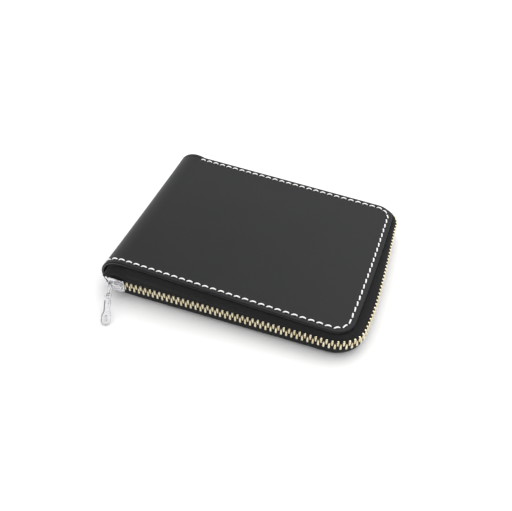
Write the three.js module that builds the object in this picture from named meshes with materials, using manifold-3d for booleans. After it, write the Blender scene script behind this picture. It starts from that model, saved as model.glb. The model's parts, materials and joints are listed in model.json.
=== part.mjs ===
// A zip-around wallet lying closed on a table: two leather covers joined by a rounded spine, a metal
// zip round three sides, card pockets in the upper half and a zipped coin pocket in the lower half.
// Millimetres, +Z up, origin on the table under the middle of the wallet.
// +X runs from the spine to the side opposite it, +Y to the back edge.
import * as THREE from 'three';
import { mergeVertices } from 'three/addons/utils/BufferGeometryUtils.js';
import Module from 'manifold-3d';

const wasm = await Module();
wasm.setup();

// Overall sizes.
const walletWidth = 119; // spine to the opposite leather edge
const walletDepth = 92.5; // front leather edge to back leather edge
const spineHeight = 19.8; // thickness at the spine
const zipSideHeight = 13.3; // thickness at the side opposite the spine
const foldReach = 12; // how far the rounded fold reaches in from the spine
const cornerRadius = 9;

// Sheet thicknesses and the clearance between neighbouring sheets.
const leatherThick = 1.4;
const tapeThick = 0.4;
const liningThick = 0.6;
const pocketThick = 0.5;
const clothThick = 0.3;
const layerGap = 0.15;
const pocketGap = 0.2;
const liningInset = 0.5; // the lining's edge lies this far inside the leather's edge

// Main zip.
const chainHeight = 8.2; // middle of the zip above the table
const chainHalfWidth = 2.4;
const chainOffset = 1.9; // middle of the teeth, out from the leather edge
const cordThick = 1.8; // the tape's corded edge, measured out from the wallet
const toothThick = 1.5;
const toothPitch = 2.4; // on one row
const toothRootWidth = 1.1;
const toothTipWidth = 0.7;
const toothOverlap = 1.4; // how far the two rows reach past each other
const toothTipGap = 0.25; // from a tooth's tip to the other row's edge
const tapeWall = 0.7; // the upright part of the tape
const tapeFlangeReach = 5; // how far the tape runs in between leather and lining

// Main slider, at its closed place beside the spine.
const sliderLength = 9;
const sliderSpineGap = 4.8; // from the spine's outer face to the slider's mouth
const sliderWing = 0.7;
const sliderClearance = 0.2;
const sliderLip = 1.05; // height of the lips that hold the chain in
const sliderSlot = 1.4; // opening between the lips for the tape
const stopLength = 1.2;
const stopGap = 0.4;
const stopThick = 1; // thin enough to swing up through the slider's slot

// Bail, link and pull.
const bailStep = 2.4; // from the slider's face to the far side of the bail
const bailBar = 0.8;
const bailWidth = 0.8;
const bailInset = 0.6; // from the slider's ends to the bail's legs
const linkWire = 0.7;
const linkLength = 4.2; // from the bail's bar to the wire that the pull hangs on
const linkInnerWidth = 1.3;
const linkClearance = 0.1; // between the bail's bar and the link's near wire
const linkPlace = 3.6; // from the slider's mouth to the link
const pullLength = 14;
const pullThick = 1.2;
const pullNeckWidth = 2.6;
const pullFootWidth = 4.4;
const pullFootLength = 5.4;
const eyeRadius = 1.6;
const eyeHole = 0.75;
const pullTurn = THREE.MathUtils.degToRad(20); // the pull points a little away from the spine

// Pockets.
const pocketInset = 6; // pockets end this far inside the leather's edge
const cardPocketCount = 4;
const cardPocketHeight = 44;
const cardPocketStep = 10;
const slipHeight = 75;
const coinZipPlace = 20; // the coin zip's distance behind the middle of the wallet
const coinZipHalf = 2;
const coinZipSlot = 3.2; // half the opening in the coin pocket's leather
const coinTapeWidth = 4.5;
const coinTapeGap = 0.4; // between the two coin tapes, at the middle of the coin zip
const coinZipHeight = 1;
const coinSliderLength = 7;
const coinSliderWall = 0.5;
const coinPullLength = 15;

// The fold is half an ellipse. A half turns open about an axis that keeps the leather's length.
const foldRise = spineHeight / 2;
const foldX = -walletWidth / 2 + foldReach;
const quarterFold = (Math.PI / 2) * Math.sqrt((foldReach ** 2 + foldRise ** 2) / 2);
const hingeX = foldX + (foldRise - foldReach - quarterFold) / 2;
const hingeRise = (foldReach + foldRise - quarterFold) / 2;
const foldSplit = THREE.MathUtils.degToRad(45); // where cover and spine leather part
const foldSplitGap = THREE.MathUtils.degToRad(5);
const foldSteps = 6;

const frontY = -walletDepth / 2;
const zipSideX = walletWidth / 2;
const taperAngle = Math.atan((spineHeight - zipSideHeight) / (zipSideX - hingeX));
const tapeDepth = leatherThick + layerGap;
const liningDepth = tapeDepth + tapeThick + layerGap;
const insideDepth = liningDepth + liningThick;
const sliderStart = -walletWidth / 2 + sliderSpineGap;
const sliderEnd = sliderStart + sliderLength;
const sliderMiddle = sliderStart + sliderLength / 2;

const leather = { color: 0x1b1b1d, roughness: 0.5, metalness: 0 };
const liningCloth = { color: 0x151517, roughness: 0.9, metalness: 0 };
const tapeCloth = { color: 0x0e0e10, roughness: 0.95, metalness: 0 };
const pocketLeather = { color: 0x202022, roughness: 0.55, metalness: 0 };
const goldBrass = { color: 0xc9b07a, roughness: 0.3, metalness: 1 };
const nickel = { color: 0xc8c9cc, roughness: 0.25, metalness: 1 };
const coilNylon = { color: 0x1c1c1e, roughness: 0.5, metalness: 0 };

function named(name, geometry, finish) {
  const mesh = new THREE.Mesh(geometry, new THREE.MeshStandardMaterial(finish));
  mesh.name = name;
  return mesh;
}

function toSolid(geometry) {
  const bare = geometry.clone();
  bare.deleteAttribute('normal');
  bare.deleteAttribute('uv');
  const merged = mergeVertices(bare, 1e-4);
  return new wasm.Manifold(new wasm.Mesh({
    numProp: 3,
    vertProperties: merged.attributes.position.array,
    triVerts: Uint32Array.from(merged.index.array),
  }));
}

function toGeometry(solid) {
  const mesh = solid.getMesh();
  const geometry = new THREE.BufferGeometry();
  geometry.setAttribute('position', new THREE.BufferAttribute(mesh.vertProperties, 3));
  geometry.setIndex(new THREE.BufferAttribute(mesh.triVerts, 1));
  return geometry;
}

function polygon(points) {
  return new THREE.Shape(points.map(([x, y]) => new THREE.Vector2(x, y)));
}

// A rectangle whose corners at +X may be rounded.
function sheetOutline(lowX, highX, lowY, highY, radius = 0) {
  const shape = new THREE.Shape();
  shape.moveTo(lowX, lowY);
  shape.lineTo(highX - radius, lowY);
  if (radius > 0) shape.absarc(highX - radius, lowY + radius, radius, -Math.PI / 2, 0);
  shape.lineTo(highX, highY - radius);
  if (radius > 0) shape.absarc(highX - radius, highY - radius, radius, 0, Math.PI / 2);
  shape.lineTo(lowX, highY);
  return shape;
}

function slab(shape, bottom, thick) {
  const geometry = new THREE.ExtrudeGeometry(shape, {
    depth: thick, bevelEnabled: false, curveSegments: 8,
  });
  return geometry.translate(0, 0, bottom);
}

// Extrudes a section drawn in X and Z along Y, from lowY to highY.
function alongY(shape, lowY, highY) {
  const geometry = new THREE.ExtrudeGeometry(shape, {
    depth: highY - lowY, bevelEnabled: false, curveSegments: 8,
  });
  return geometry.rotateX(Math.PI / 2).translate(0, highY, 0);
}

function box(lowX, highX, lowY, highY, lowZ, highZ) {
  return slab(sheetOutline(lowX, highX, lowY, highY), lowZ, highZ - lowZ);
}

// A closed body through rings of points that all have the section's number of corners.
function loft(rings, section) {
  const count = section.length;
  const index = [];
  for (let ring = 0; ring + 1 < rings.length; ring += 1) {
    for (let corner = 0; corner < count; corner += 1) {
      const a = ring * count + corner;
      const b = ring * count + ((corner + 1) % count);
      index.push(a, a + count, b, b, a + count, b + count);
    }
  }
  const last = (rings.length - 1) * count;
  for (const [a, b, c] of THREE.ShapeUtils.triangulateShape(section, [])) {
    index.push(a, b, c, last + a, last + c, last + b);
  }
  const geometry = new THREE.BufferGeometry();
  geometry.setAttribute('position', new THREE.Float32BufferAttribute(rings.flat(2), 3));
  geometry.setIndex(index);
  return geometry;
}

// The place on the fold at an angle from straight down, at a depth inside the leather's outer face.
function foldPoint(angle, depth) {
  return [
    foldX - (foldReach - depth) * Math.sin(angle),
    foldRise - (foldRise - depth) * Math.cos(angle),
  ];
}

function foldArc(from, to, depth, steps) {
  const points = [];
  for (let i = 0; i <= steps; i += 1) points.push(foldPoint(from + ((to - from) * i) / steps, depth));
  return points;
}

// Height of the sheet that lies at a depth inside the upper cover's outer face.
function upperHeight(x, depth) {
  const rise = hingeRise - depth - Math.sin(taperAngle) * (x - hingeX);
  return spineHeight - hingeRise + rise / Math.cos(taperAngle);
}

// Turns a section of the lower half over, for the upper half before its slope.
function turnedOver(points) {
  return points.map(([x, z]) => [x, spineHeight - z]);
}

// The upper half's pieces are built level, and this group slopes them about the upper hinge.
const upperSlope = new THREE.Group();
upperSlope.position.set(hingeX, 0, spineHeight - hingeRise);
upperSlope.rotation.y = taperAngle;
const upperLevel = new THREE.Group();
upperLevel.position.set(-hingeX, 0, -(spineHeight - hingeRise));
upperSlope.add(upperLevel);

const wallet = new THREE.Group();
wallet.add(upperSlope);

function coverSection() {
  return [
    [zipSideX, leatherThick],
    [zipSideX, 0],
    ...foldArc(0, foldSplit, 0, foldSteps),
    ...foldArc(foldSplit, 0, leatherThick, foldSteps),
  ];
}

function cover(section) {
  const outline = sheetOutline(-walletWidth / 2 - 1, zipSideX, frontY, -frontY, cornerRadius);
  const whole = toSolid(alongY(polygon(section), frontY - 1, 1 - frontY));
  return toGeometry(whole.intersect(toSolid(slab(outline, -1, spineHeight + 2))));
}

function spineSheet(depth, thick, splitGap, inset) {
  const from = foldSplit + splitGap;
  const to = Math.PI - from;
  const section = [
    ...foldArc(from, to, depth, 2 * foldSteps),
    ...foldArc(to, from, depth + thick, 2 * foldSteps),
  ];
  return alongY(polygon(section), frontY + inset, -frontY - inset);
}

function liningOutline() {
  const radius = cornerRadius - liningInset;
  return sheetOutline(foldX, zipSideX - liningInset, frontY + liningInset, -frontY - liningInset, radius);
}

function pocketOutline(height) {
  const lowY = frontY + pocketInset;
  return sheetOutline(foldX + pocketInset / 2, zipSideX - pocketInset, lowY, lowY + height);
}

function addCoversAndLinings() {
  wallet.add(named('lower_cover', cover(coverSection()), leather));
  upperLevel.add(named('upper_cover', cover(turnedOver(coverSection())), leather));
  wallet.add(named('spine_leather', spineSheet(0, leatherThick, foldSplitGap, 0), leather));
  wallet.add(named('lower_lining', slab(liningOutline(), liningDepth, liningThick), liningCloth));
  const upperBottom = spineHeight - insideDepth;
  upperLevel.add(named('upper_lining', slab(liningOutline(), upperBottom, liningThick), liningCloth));
  const spineLiningDepth = leatherThick + layerGap;
  const liningGap = 2 * foldSplitGap;
  wallet.add(named('spine_lining', spineSheet(spineLiningDepth, liningThick, liningGap, liningInset),
    liningCloth));
}

// The zip's run, as distances along the line of the teeth from the front end beside the spine.
const runStart = sliderStart - stopGap - stopLength;
const frontRun = zipSideX - cornerRadius - runStart;
const cornerRun = ((cornerRadius + chainOffset) * Math.PI) / 2;
const sideRun = walletDepth - 2 * cornerRadius;
const runLength = 2 * frontRun + 2 * cornerRun + sideRun;
const cornerSteps = 6;

// A point of the leather edge at a distance along the run, and the direction out of the wallet there.
function edgeAt(distance) {
  const cornerX = zipSideX - cornerRadius;
  const cornerY = -frontY - cornerRadius;
  const beforeSide = frontRun + cornerRun;
  if (distance <= frontRun) return { x: runStart + distance, y: frontY, angle: -Math.PI / 2 };
  if (distance >= runLength - frontRun) {
    return { x: runStart + runLength - distance, y: -frontY, angle: Math.PI / 2 };
  }
  if (distance > beforeSide && distance < beforeSide + sideRun) {
    return { x: zipSideX, y: distance - beforeSide - cornerY, angle: 0 };
  }
  const second = distance >= beforeSide + sideRun;
  const along = second ? distance - beforeSide - sideRun : distance - beforeSide;
  const angle = (along / cornerRun) * (Math.PI / 2);
  const middleY = second ? cornerY : -cornerY;
  return {
    x: cornerX + cornerRadius * Math.cos(angle),
    y: middleY + cornerRadius * Math.sin(angle),
    angle,
  };
}

function outFromEdge(edge, out) {
  return [edge.x + out * Math.cos(edge.angle), edge.y + out * Math.sin(edge.angle)];
}

// Distances where the run bends, between two ends, so that a swept piece follows the corners.
function runStations(from, to) {
  const stations = [from];
  for (const corner of [frontRun, frontRun + cornerRun + sideRun]) {
    for (let i = 0; i <= cornerSteps; i += 1) stations.push(corner + (cornerRun * i) / cornerSteps);
  }
  stations.push(to);
  return stations;
}

// Sweeps a section along the run. sectionAt gives [out, height] corners for a place on the leather edge.
function sweep(stations, sectionAt) {
  const rings = stations.map((distance) => {
    const edge = edgeAt(distance);
    return sectionAt(edge).map(([out, height]) => [...outFromEdge(edge, out), height]);
  });
  const section = sectionAt(edgeAt(stations[0])).map(([out, height]) => new THREE.Vector2(out, height));
  return loft(rings, section);
}

const tapeInner = chainOffset - tapeWall / 2;
const tapeOuter = chainOffset + tapeWall / 2;

// Beside the fold the tape has only a narrow edge, because the covers curve away there.
function flangeInner(edge) {
  return edge.x > foldX + layerGap ? -tapeFlangeReach : layerGap;
}

function lowerTapeSection(edge) {
  const inner = flangeInner(edge);
  const top = chainHeight - chainHalfWidth - layerGap;
  return [
    [inner, tapeDepth], [tapeOuter, tapeDepth], [tapeOuter, top],
    [tapeInner, top], [tapeInner, tapeDepth + tapeThick], [inner, tapeDepth + tapeThick],
  ];
}

function upperTapeSection(edge) {
  const inner = flangeInner(edge);
  const bottom = chainHeight + chainHalfWidth + layerGap;
  const heightAt = (out, depth) => upperHeight(outFromEdge(edge, out)[0], depth);
  return [
    [inner, heightAt(inner, tapeDepth + tapeThick)],
    [tapeInner, heightAt(tapeInner, tapeDepth + tapeThick)],
    [tapeInner, bottom], [tapeOuter, bottom],
    [tapeOuter, heightAt(tapeOuter, tapeDepth)],
    [inner, heightAt(inner, tapeDepth)],
  ];
}

function tapeStations() {
  const flangeStart = foldX - runStart;
  const ends = [flangeStart, flangeStart + 1];
  const stations = runStations(0, runLength);
  stations.splice(1, 0, ...ends);
  stations.splice(-1, 0, ...ends.map((distance) => runLength - distance).reverse());
  return stations;
}

// One tooth: its section is drawn along the run and in height, then stood on the run.
function tooth(distance, section) {
  const edge = edgeAt(distance);
  const out = new THREE.Vector3(Math.cos(edge.angle), Math.sin(edge.angle), 0);
  const along = new THREE.Vector3(-Math.sin(edge.angle), Math.cos(edge.angle), 0);
  const [x, y] = outFromEdge(edge, chainOffset - toothThick / 2);
  const place = new THREE.Matrix4().makeBasis(along, new THREE.Vector3(0, 0, 1), out).setPosition(x, y, 0);
  const geometry = new THREE.ExtrudeGeometry(polygon(section), { depth: toothThick, bevelEnabled: false });
  return geometry.applyMatrix4(place);
}

// A row of teeth on the tape's corded edge. side is 1 for the lower row and -1 for the upper row.
function teethRow(from, to, phase, side) {
  const height = (up) => chainHeight + side * up;
  const edgeTop = -toothOverlap / 2 - toothTipGap;
  const inner = chainOffset - cordThick / 2;
  const outer = chainOffset + cordThick / 2;
  const [low, high] = [height(-chainHalfWidth), height(edgeTop)].sort((a, b) => a - b);
  const cord = sweep(runStations(from, to), () => [[inner, low], [outer, low], [outer, high], [inner, high]]);
  const section = [
    [-toothRootWidth / 2, height(edgeTop - layerGap)], [toothRootWidth / 2, height(edgeTop - layerGap)],
    [toothRootWidth / 2, height(edgeTop)], [toothTipWidth / 2, height(toothOverlap / 2)],
    [-toothTipWidth / 2, height(toothOverlap / 2)], [-toothRootWidth / 2, height(edgeTop)],
  ];
  const teeth = [];
  const halfRoot = toothRootWidth / 2;
  for (let place = phase; place + halfRoot < to; place += toothPitch) {
    if (place - halfRoot > from) teeth.push(toSolid(tooth(place, section)));
  }
  return toGeometry(wasm.Manifold.union([toSolid(cord), ...teeth]));
}

function stopBlock(lowX, lowZ, highZ, y) {
  const out = Math.sign(y) * chainOffset;
  const half = stopThick / 2;
  return box(lowX, lowX + stopLength, y + out - half, y + out + half, lowZ, highZ);
}

function addMainZip() {
  wallet.add(named('lower_zip_tape', sweep(tapeStations(), lowerTapeSection), tapeCloth));
  wallet.add(named('upper_zip_tape', sweep(tapeStations(), upperTapeSection), tapeCloth));
  const lowerStart = stopLength + 2 * stopGap;
  const upperStart = sliderEnd - runStart + stopGap;
  const backEnd = runLength - upperStart;
  wallet.add(named('lower_teeth', teethRow(lowerStart, backEnd, toothPitch, 1), goldBrass));
  wallet.add(named('upper_teeth', teethRow(upperStart, backEnd, toothPitch * 1.5, -1), goldBrass));
  const low = chainHeight - chainHalfWidth;
  const high = chainHeight + chainHalfWidth;
  const inner = toothOverlap / 2 + toothTipGap;
  // The zip's lower end, at the back, is level with the closed slider's tail, clear of the fold.
  wallet.add(named('lower_top_stop', stopBlock(runStart, low, chainHeight - inner, frontY), nickel));
  wallet.add(named('upper_top_stop', stopBlock(runStart, chainHeight + inner, high, frontY), nickel));
  wallet.add(named('bottom_stop', stopBlock(sliderEnd - stopLength, low, high, -frontY), nickel));
}

// The slider's section is drawn out from the leather edge and in height.
function sliderPlate(side) {
  const face = cordThick / 2 + sliderClearance;
  const lipFace = sliderSlot / 2;
  const half = chainHalfWidth + sliderClearance;
  const section = [
    [face + sliderWing, -half - sliderLip], [face + sliderWing, half + sliderLip],
    [lipFace, half + sliderLip], [lipFace, half], [face, half],
    [face, -half], [lipFace, -half], [lipFace, -half - sliderLip],
  ];
  const shape = polygon(section.map(([out, up]) => [side * out, up]));
  const geometry = new THREE.ExtrudeGeometry(shape, { depth: sliderLength, bevelEnabled: false });
  const alongX = new THREE.Matrix4().makeBasis(
    new THREE.Vector3(0, -1, 0), new THREE.Vector3(0, 0, 1), new THREE.Vector3(-1, 0, 0),
  );
  alongX.setPosition(sliderEnd, frontY - chainOffset, chainHeight);
  return toSolid(geometry.applyMatrix4(alongX)).intersect(toSolid(sliderOutline()));
}

// The slider is widest at its mouth, beside the spine, and narrows towards the closed teeth.
function sliderOutline() {
  const half = chainHalfWidth + sliderClearance + sliderLip;
  const tail = half - sliderLip / 3;
  const cut = sliderLip;
  const section = [
    [sliderStart, chainHeight - half + cut], [sliderStart + cut, chainHeight - half],
    [sliderMiddle, chainHeight - half], [sliderEnd, chainHeight - tail],
    [sliderEnd, chainHeight + tail], [sliderMiddle, chainHeight + half],
    [sliderStart + cut, chainHeight + half], [sliderStart, chainHeight + half - cut],
  ];
  const reach = chainOffset + 2 * sliderWing + cordThick;
  return alongY(polygon(section), frontY - reach, frontY + reach);
}

const sliderFaceY = frontY - chainOffset - cordThick / 2 - sliderClearance - sliderWing;
const bailOuterY = sliderFaceY - bailStep;
const bailAxisY = bailOuterY + bailBar / 2;

// The bail is an arch on the slider's face. Its bar runs along the zip.
function bail() {
  const half = sliderLength / 2 - bailInset;
  const legInner = half - bailBar;
  const sunk = sliderFaceY + sliderWing / 2;
  const arch = polygon([
    [sliderMiddle - half, sunk], [sliderMiddle - half, bailOuterY],
    [sliderMiddle + half, bailOuterY], [sliderMiddle + half, sunk],
    [sliderMiddle + legInner, sunk], [sliderMiddle + legInner, bailOuterY + bailBar],
    [sliderMiddle - legInner, bailOuterY + bailBar], [sliderMiddle - legInner, sunk],
  ]);
  return toSolid(slab(arch, chainHeight - bailWidth / 2, bailWidth));
}

function addSlider() {
  wallet.add(named('slider_body', toGeometry(sliderPlate(1).add(bail())), nickel));
  wallet.add(named('slider_back_plate', toGeometry(sliderPlate(-1)), nickel));
}

// The pull hangs from the bail with its foot on the table. In its own frame the link points along +X.
const pullDrop = chainHeight - pullThick / 2 - layerGap;
const pullRun = linkLength + pullLength * Math.cos(pullTurn);
const pullDroop = Math.asin(pullDrop / pullRun);

const pullFrame = new THREE.Group();
pullFrame.position.set(sliderStart + linkPlace, bailAxisY, chainHeight);
pullFrame.quaternion.setFromRotationMatrix(new THREE.Matrix4().makeBasis(
  new THREE.Vector3(0, -Math.cos(pullDroop), -Math.sin(pullDroop)),
  new THREE.Vector3(1, 0, 0),
  new THREE.Vector3(0, -Math.sin(pullDroop), Math.cos(pullDroop)),
));
wallet.add(pullFrame);

// A closed wire loop round the bail's bar, narrower at its far end. It stands edge-on to the slider.
function linkLoop() {
  const near = -bailBar / 2 - linkClearance - linkWire;
  const far = linkLength + linkWire / 2;
  const nearHalf = linkInnerWidth / 2 + linkWire;
  const farHalf = pullThick / 2 + linkWire + sliderClearance;
  const outer = polygon([[near, -nearHalf], [far, -farHalf], [far, farHalf], [near, nearHalf]]);
  const hole = new THREE.Path([
    new THREE.Vector2(near + linkWire, linkWire - nearHalf),
    new THREE.Vector2(near + linkWire, nearHalf - linkWire),
    new THREE.Vector2(far - linkWire, farHalf - linkWire),
    new THREE.Vector2(far - linkWire, linkWire - farHalf),
  ]);
  outer.holes.push(hole);
  return alongY(outer, -linkWire / 2, linkWire / 2);
}

// The flat pull: an eye for the link's wire, a slim bar and a wider foot with a slot.
function pullBlade() {
  const shape = new THREE.Shape();
  const neck = pullNeckWidth / 2;
  const foot = pullFootWidth / 2;
  const footStart = pullLength - pullFootLength;
  const corner = foot / 2;
  const neckAngle = Math.asin(neck / eyeRadius);
  shape.absarc(0, 0, eyeRadius, neckAngle, 2 * Math.PI - neckAngle);
  shape.lineTo(footStart - corner, -neck);
  shape.lineTo(footStart, -foot);
  shape.lineTo(pullLength - corner, -foot);
  shape.lineTo(pullLength, -corner);
  shape.lineTo(pullLength, corner);
  shape.lineTo(pullLength - corner, foot);
  shape.lineTo(footStart, foot);
  shape.lineTo(footStart - corner, neck);
  const eye = new THREE.Path();
  eye.absarc(0, 0, eyeHole, 0, 2 * Math.PI, true);
  const slot = new THREE.Path([
    new THREE.Vector2(footStart + corner, -corner / 2), new THREE.Vector2(footStart + corner, corner / 2),
    new THREE.Vector2(pullLength - corner, corner / 2), new THREE.Vector2(pullLength - corner, -corner / 2),
  ]);
  shape.holes.push(eye, slot);
  return slab(shape, -pullThick / 2, pullThick);
}

function addPull() {
  pullFrame.add(named('pull_link', linkLoop(), nickel));
  const blade = named('pull_bar', pullBlade(), nickel);
  blade.position.x = linkLength;
  blade.rotation.z = pullTurn;
  pullFrame.add(blade);
}

// Sheets stack inwards from a half's lining. Each call gives the next sheet's depth.
function stackFrom(depth) {
  let next = depth;
  return (thick, gap = pocketGap) => {
    const place = next + gap;
    next = place + thick;
    return place;
  };
}

function addCardPockets() {
  const nextDepth = stackFrom(insideDepth);
  const addSheet = (name, height) => {
    const depth = nextDepth(pocketThick);
    const bottom = spineHeight - depth - pocketThick;
    upperLevel.add(named(name, slab(pocketOutline(height), bottom, pocketThick), pocketLeather));
  };
  addSheet('upper_slip_pocket', slipHeight);
  for (let i = 0; i < cardPocketCount; i += 1) {
    const height = cardPocketHeight + cardPocketStep * (cardPocketCount - 1 - i);
    addSheet(`card_pocket_${i + 1}`, height);
  }
}

const coinLowX = foldX + pocketInset;
const coinHighX = zipSideX - pocketInset - layerGap;
const coinLowY = frontY + pocketInset;
const coinHighY = -frontY - pocketInset;
const coinZipLowX = coinLowX + 3;
const coinZipHighX = coinHighX - 3;

// The coin zip's slider is a cap over the coil. Its pull lies on the pocket's leather.
function addCoinSlider(coilBottom, leatherTop) {
  const lowX = coinZipLowX + stopLength + stopGap;
  const highX = lowX + coinSliderLength;
  const inner = coinZipHalf + sliderClearance;
  const outer = inner + coinSliderWall;
  const top = coilBottom + coinZipHeight + sliderClearance;
  const cap = toSolid(box(lowX, highX, coinZipPlace - outer, coinZipPlace + outer,
    coilBottom + layerGap, top + coinSliderWall));
  const channel = toSolid(box(lowX - 1, highX + 1, coinZipPlace - inner, coinZipPlace + inner,
    coilBottom - 1, top));
  wallet.add(named('coin_slider', toGeometry(cap.subtract(channel)), nickel));
  const pullFar = coinZipPlace - outer - layerGap - coinPullLength;
  const middle = (lowX + highX) / 2;
  const half = pullNeckWidth / 2;
  wallet.add(named('coin_pull', box(middle - half, middle + half, pullFar, pullFar + coinPullLength,
    leatherTop + pocketGap, leatherTop + pocketGap + coinSliderWall), nickel));
}

function addCoinPocket() {
  const nextDepth = stackFrom(insideDepth);
  const slipDepth = nextDepth(pocketThick);
  wallet.add(named('lower_slip_pocket', slab(pocketOutline(slipHeight), slipDepth, pocketThick),
    pocketLeather));
  const bagOutline = sheetOutline(coinLowX, coinHighX, coinLowY, coinHighY);
  wallet.add(named('coin_pocket_lining', slab(bagOutline, nextDepth(clothThick), clothThick), liningCloth));
  const tapeBottom = nextDepth(clothThick, clothThick);
  const leatherBottom = nextDepth(pocketThick, layerGap);
  const leatherTop = leatherBottom + pocketThick;
  const frontEdge = coinZipPlace - coinZipSlot;
  const backEdge = coinZipPlace + coinZipSlot;
  wallet.add(named('coin_pocket_front', box(coinLowX, coinHighX, coinLowY, frontEdge,
    leatherBottom, leatherTop), pocketLeather));
  wallet.add(named('coin_pocket_back', box(coinLowX, coinHighX, backEdge, coinHighY,
    leatherBottom, leatherTop), pocketLeather));
  for (const [name, side] of [['coin_tape_front', -1], ['coin_tape_back', 1]]) {
    const near = coinZipPlace + (side * coinTapeGap) / 2;
    const far = near + side * coinTapeWidth;
    wallet.add(named(name, box(coinLowX, coinHighX, Math.min(near, far), Math.max(near, far),
      tapeBottom, tapeBottom + clothThick), tapeCloth));
  }
  const coilBottom = tapeBottom + clothThick + layerGap;
  const [low, high] = [coinZipPlace - coinZipHalf, coinZipPlace + coinZipHalf];
  const coilLow = coinZipLowX + stopLength + layerGap;
  const coilHigh = coinZipHighX - stopLength - layerGap;
  const coilTop = coilBottom + coinZipHeight;
  wallet.add(named('coin_coil', box(coilLow, coilHigh, low, high, coilBottom, coilTop), coilNylon));
  wallet.add(named('coin_stop_spine_side', box(coinZipLowX, coinZipLowX + stopLength, low, high,
    coilBottom, coilTop), nickel));
  wallet.add(named('coin_stop_far_side', box(coinZipHighX - stopLength, coinZipHighX, low, high,
    coilBottom, coilTop), nickel));
  addCoinSlider(coilBottom, leatherTop);
}

addCoversAndLinings();
addMainZip();
addSlider();
addPull();
addCardPockets();
addCoinPocket();

export default wallet;
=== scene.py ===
# A black leather zip-around wallet, closed, lying on a pale table.
# Lengths in the dictionaries are millimetres; meshes are made in metres around the loaded frame.
import json
import math

import bmesh
import bpy
from mathutils import Matrix, Vector


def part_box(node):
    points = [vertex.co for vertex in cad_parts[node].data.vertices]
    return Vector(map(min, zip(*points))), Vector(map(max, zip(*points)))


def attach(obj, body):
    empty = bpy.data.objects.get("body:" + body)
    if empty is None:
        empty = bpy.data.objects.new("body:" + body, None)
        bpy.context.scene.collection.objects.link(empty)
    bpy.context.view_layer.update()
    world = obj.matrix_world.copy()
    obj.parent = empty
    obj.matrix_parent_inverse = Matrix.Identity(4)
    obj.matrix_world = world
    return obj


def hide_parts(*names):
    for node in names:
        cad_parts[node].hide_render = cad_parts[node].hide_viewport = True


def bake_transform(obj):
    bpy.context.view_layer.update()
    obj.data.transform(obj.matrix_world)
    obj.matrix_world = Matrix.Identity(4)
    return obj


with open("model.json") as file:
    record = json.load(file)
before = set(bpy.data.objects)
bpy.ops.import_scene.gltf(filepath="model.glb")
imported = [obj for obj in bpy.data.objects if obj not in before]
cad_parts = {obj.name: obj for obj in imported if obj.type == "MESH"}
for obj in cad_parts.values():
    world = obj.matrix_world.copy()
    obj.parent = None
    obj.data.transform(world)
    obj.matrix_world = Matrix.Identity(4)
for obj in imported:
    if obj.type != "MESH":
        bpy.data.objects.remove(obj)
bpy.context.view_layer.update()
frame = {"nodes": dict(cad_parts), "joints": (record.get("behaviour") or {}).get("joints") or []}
mm = 0.001
joints = {joint["name"]: joint for joint in frame["joints"]}
print("frame loaded:", len(frame["nodes"]), "nodes")


# places read from the frame, in millimetres

def nodeBox(name):
    low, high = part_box(name)
    return Vector(low) / mm, Vector(high) / mm


coverHigh = nodeBox("lower_cover")[1]
zipSideX = coverHigh.x                                  # leather edge opposite the spine
halfDepth = coverHigh.y                                 # front and back leather edges
spineX = nodeBox("spine_leather")[0].x                  # outermost face of the spine
lowerAxis = Vector(joints["lower_fold"]["pos_m"]) / mm  # the two axes that the wallet opens round
upperAxis = Vector(joints["upper_fold"]["pos_m"]) / mm
spineHeight = lowerAxis.z + upperAxis.z
taperAngle = math.radians(joints["upper_fold"]["range_deg"][1] - 90)
sliderLow, sliderHigh = nodeBox("slider_back_plate")
chainHeight = (sliderLow.z + sliderHigh.z) / 2
liningLow, liningHigh = nodeBox("lower_lining")
linkAxis = Vector(joints["link_swing"]["pos_m"]) / mm
pullAxis = Vector(joints["pull_turn"]["pos_m"]) / mm

wallet = {
    "foldReach": 12.0,       # how far the rounded fold reaches in from the spine
    "cornerRadius": 9.0,
    "leatherThick": 1.4,
    "backSkew": 3.3,         # the relaxed fold leans out at its back end
    "liningLean": 0.4,       # the lining's inner face leans out by this share of that
    "backRise": 2.1,         # and stands a little higher there
    "crown": 0.35,           # the upper cover is a little fuller in the middle
    "frontLean": 1.1,        # how far the front end of the zip side stands out
    "crownStart": 4.0,       # the fullness begins this far in from the edge
    "crownReach": 30.0,      # and takes this far to rise
}
foldX = spineX + wallet["foldReach"]
foldRise = spineHeight / 2


# meshes

def makeObject(name, points, faces, materials, faceSlots=None, uvs=None):
    mesh = bpy.data.meshes.new(name)
    mesh.from_pydata([tuple(Vector(point) * mm) for point in points], [], faces)
    for material in materials:
        mesh.materials.append(material)
    if faceSlots:
        mesh.polygons.foreach_set("material_index", faceSlots)
    mesh.polygons.foreach_set("use_smooth", [True] * len(mesh.polygons))
    if uvs:
        layer = mesh.uv_layers.new(name="clothMap")
        for loop in mesh.loops:
            layer.data[loop.index].uv = uvs[loop.vertex_index]
    mesh.update()
    obj = bpy.data.objects.new(name, mesh)
    bpy.context.scene.collection.objects.link(obj)
    return obj


def editMesh(obj, change):
    # makes one change to the mesh in its editable form
    solid = bmesh.new()
    solid.from_mesh(obj.data)
    change(solid)
    solid.to_mesh(obj.data)
    solid.free()
    return obj


def faceOutwards(obj, sharpEnds=None):
    # sharpEnds is a test on two vertex numbers, for edges that stay crisp
    def change(solid):
        bmesh.ops.recalc_face_normals(solid, faces=solid.faces)
        if sharpEnds:
            for edge in solid.edges:
                edge.smooth = not sharpEnds(edge.verts[0].index, edge.verts[1].index)

    return editMesh(obj, change)


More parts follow.
